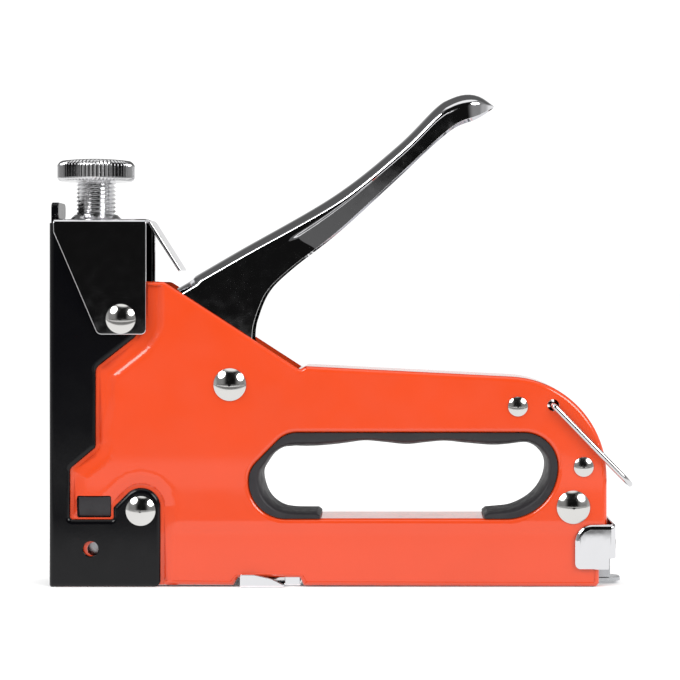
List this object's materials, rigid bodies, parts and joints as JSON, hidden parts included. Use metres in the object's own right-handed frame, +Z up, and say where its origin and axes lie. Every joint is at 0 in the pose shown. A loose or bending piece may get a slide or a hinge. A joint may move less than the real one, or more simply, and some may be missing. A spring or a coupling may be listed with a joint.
{
  "type": "staple gun",
  "caption": "Hand staple gun with an orange pressed-steel body, black nose, chrome squeeze lever, tension knob, padded finger opening and slide-out staple magazine.",
  "frame": {"origin": "middle of the staple exit, in the flat underside of the nose that is pressed on the work", "axes": "+Z up, away from the work; +X from the nose to the rear of the grip; Y across the body"},
  "size_m": [0.1818, 0.0304, 0.1537],
  "materials": {
    "orange_paint": "smooth gloss enamel",
    "black_paint": "gloss black enamel",
    "chrome": "polished plating",
    "bright_nickel": "bright plating",
    "polished_rivet": "polished",
    "black_rubber": "matte",
    "spring_steel": "oiled wire",
    "plain_steel": "ground",
    "zinc_steel": "zinc plated"
  },
  "bodies": {
    "body": {"left_shell": "orange_paint", "right_shell": "orange_paint", "nose_channel": "black_paint", "tension_bracket": "chrome", "collar_nut": "bright_nickel", "bumper_block": "black_rubber", "grip_liner": "black_rubber", "magazine_channel": "zinc_steel", "bracket_rivet": "polished_rivet", "handle_pivot_rivet": "polished_rivet", "nose_rivet": "polished_rivet", "rear_rivet": "polished_rivet", "grip_rivets": "polished_rivet", "spacer_sleeves": "plain_steel", "catch_pins": "plain_steel", "main_spring": "spring_steel", "handle_return_spring": "spring_steel"},
    "lever": {"handle_lever": "chrome", "pivot_bushing": "plain_steel", "lift_pin": "plain_steel", "lift_roller": "plain_steel"},
    "hammer": {"hammer_block": "plain_steel", "driver_blade": "plain_steel", "blade_rivets": "plain_steel"},
    "seat": {"spring_seat": "plain_steel"},
    "knob": {"tension_knob": "bright_nickel"},
    "ring": {"lock_ring": "bright_nickel"},
    "magazine": {"magazine_rail": "zinc_steel", "guide_rod": "plain_steel", "rear_cap": "chrome", "cap_rivets": "polished_rivet", "pusher_spring": "spring_steel"},
    "pusher": {"pusher": "zinc_steel"},
    "catch": {"release_catch": "chrome"}
  },
  "joints": [
    {"name": "handle_squeeze", "type": "hinge", "parent": "body", "child": "lever", "pos_m": [0.0541, 0, 0.0628], "axis": [0, 1, 0], "range_deg": [0, 38], "stiffness_Nm_per_rad": 1.5, "springref_deg": -14.32},
    {"name": "hammer_lift", "type": "slide", "parent": "body", "child": "hammer", "axis": [0, 0, 1], "range_m": [0, 0.0167], "deforming": ["main_spring"]},
    {"name": "seat_slide", "type": "slide", "parent": "body", "child": "seat", "axis": [0, 0, 1], "range_m": [-0.0066, 0.0014], "deforming": ["main_spring"]},
    {"name": "knob_turn", "type": "hinge", "parent": "seat", "child": "knob", "pos_m": [0.011, 0, 0.12], "axis": [0, 0, 1], "range_deg": [-1902, 404]},
    {"name": "ring_swing", "type": "hinge", "parent": "body", "child": "ring", "pos_m": [0.1544, 0, 0.0564], "axis": [0, 1, 0], "range_deg": [-104, 5]},
    {"name": "magazine_slide", "type": "slide", "parent": "body", "child": "magazine", "axis": [1, 0, 0], "range_m": [0, 0.1]},
    {"name": "pusher_slide", "type": "slide", "parent": "magazine", "child": "pusher", "axis": [1, 0, 0], "range_m": [0, 0.1], "stiffness_N_per_m": 30, "springref_m": -0.02, "deforming": ["pusher_spring"]},
    {"name": "catch_press", "type": "hinge", "parent": "body", "child": "catch", "pos_m": [0.0734, 0, 0.0056], "axis": [0, 1, 0], "range_deg": [0, 3], "stiffness_Nm_per_rad": 1, "springref_deg": -5.73}
  ],
  "couplings": [
    {"joint": "hammer_lift", "follows": "handle_squeeze", "m_per_rad": 0.02503},
    {"joint": "knob_turn", "follows": "seat_slide", "rad_per_m": 5026.5}
  ]
}
